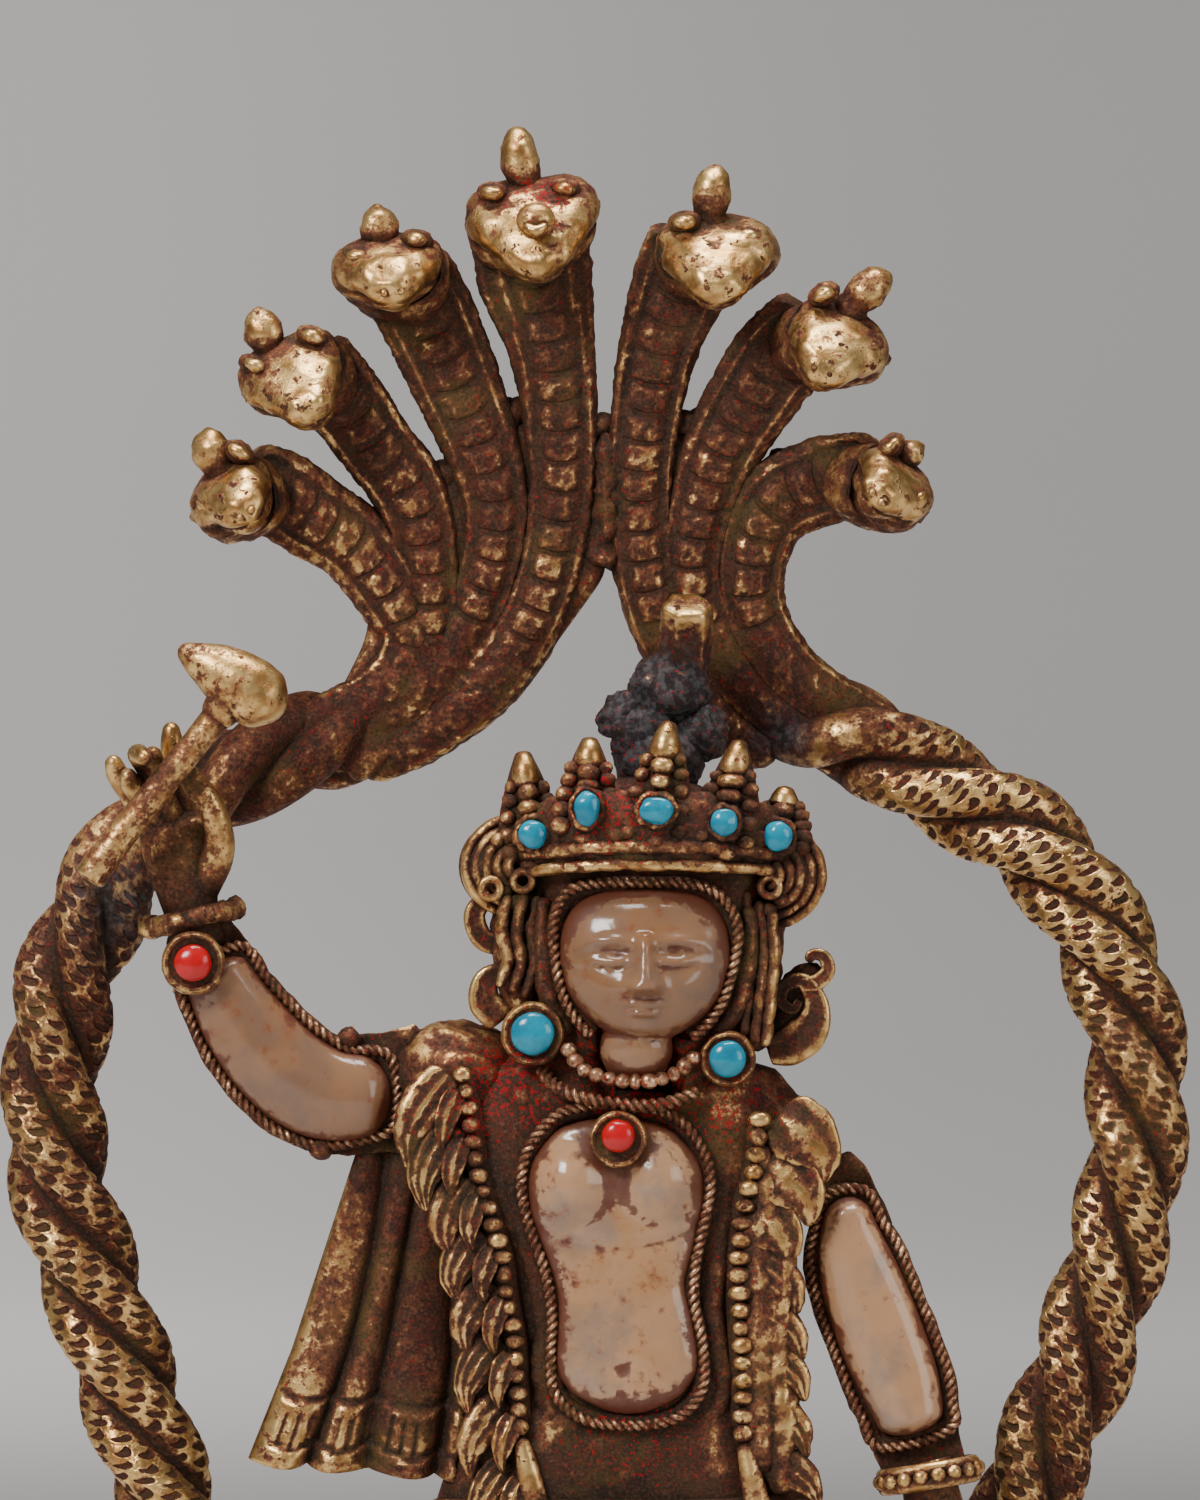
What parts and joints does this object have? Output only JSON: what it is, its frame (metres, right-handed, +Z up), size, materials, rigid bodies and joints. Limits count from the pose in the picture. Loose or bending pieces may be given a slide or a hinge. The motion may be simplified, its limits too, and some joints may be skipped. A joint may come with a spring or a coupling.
{
  "type": "vajravarahi statue",
  "caption": "Small cast brass standing deity with rock crystal face, trunk and arms, framed by a twisted serpent canopy and standing on an oval lotus plinth.",
  "frame": {"origin": "middle of the flat underside of the lotus plinth", "axes": "+Z up, the figure faces -Y, +X to the viewer's right"},
  "size_m": [0.119, 0.05, 0.2134],
  "materials": {
    "cast_brass": "cast, dark red-brown pigment in the hollows, rubbed bright on the ridges",
    "bright_brass": "rubbed bright, red pigment in the hollows",
    "crystal": "polished cloudy rock crystal",
    "turquoise": "polished stone",
    "coral": "polished"
  },
  "bodies": {
    "root": {"figure_body": "cast_brass", "serpent_frame": "cast_brass", "lotus_plinth": "cast_brass", "hand_hammer": "bright_brass", "face_crystal": "crystal", "torso_crystal": "crystal", "right_arm_crystal": "crystal", "left_arm_crystal": "crystal", "face_wire": "bright_brass", "torso_wire": "bright_brass", "right_arm_wire": "bright_brass", "left_arm_wire": "bright_brass", "collar_wire": "bright_brass", "collar_beads": "bright_brass", "crown_turquoise_1": "turquoise", "crown_turquoise_2": "turquoise", "crown_turquoise_3": "turquoise", "crown_turquoise_4": "turquoise", "crown_turquoise_5": "turquoise", "ear_bezel_right": "bright_brass", "ear_turquoise_right": "turquoise", "ear_bezel_left": "bright_brass", "ear_turquoise_left": "turquoise", "chest_bezel": "bright_brass", "chest_coral": "coral", "wrist_bezel": "bright_brass", "wrist_coral": "coral"}
  },
  "joints": []
}
